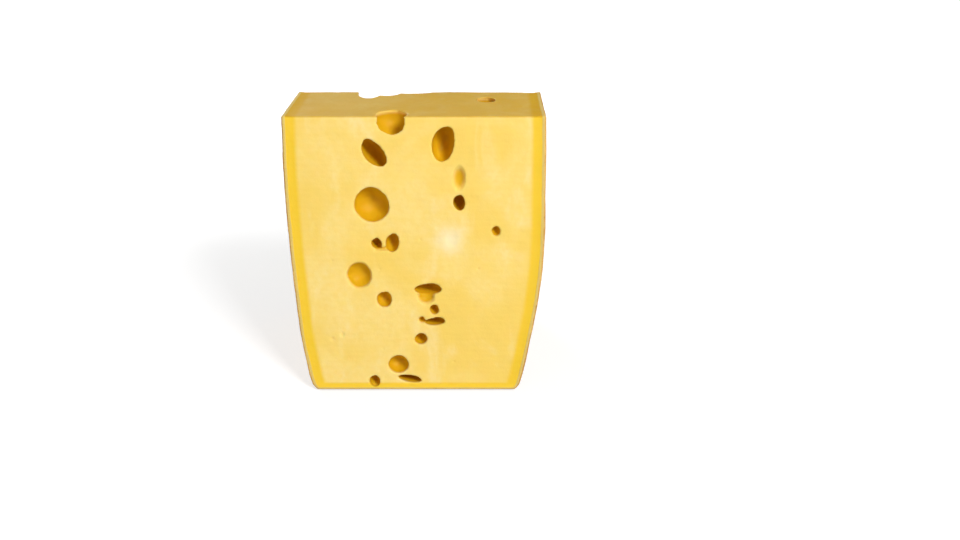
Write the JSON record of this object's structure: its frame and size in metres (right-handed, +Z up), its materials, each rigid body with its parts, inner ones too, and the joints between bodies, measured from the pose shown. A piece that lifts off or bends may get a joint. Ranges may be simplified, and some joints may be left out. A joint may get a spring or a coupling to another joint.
{
  "type": "cheese wedge",
  "caption": "Truncated wedge cut from a wheel of hard cheese, standing on its rind, with round gas holes opened by the cuts; food prop for a board, counter or table.",
  "frame": {"origin": "middle of the underside, where the wedge stands", "axes": "+Z up from the rim towards the wheel's centre, +X along the wheel's axle line to the wedge's right side, front cut face towards -Y"},
  "size_m": [0.2212, 0.1722, 0.237],
  "materials": {
    "cheese": "waxy pale-yellow paste with a satin sheen and a darker ochre rind"
  },
  "bodies": {
    "root": {"cheese_wedge": "cheese"}
  },
  "joints": []
}
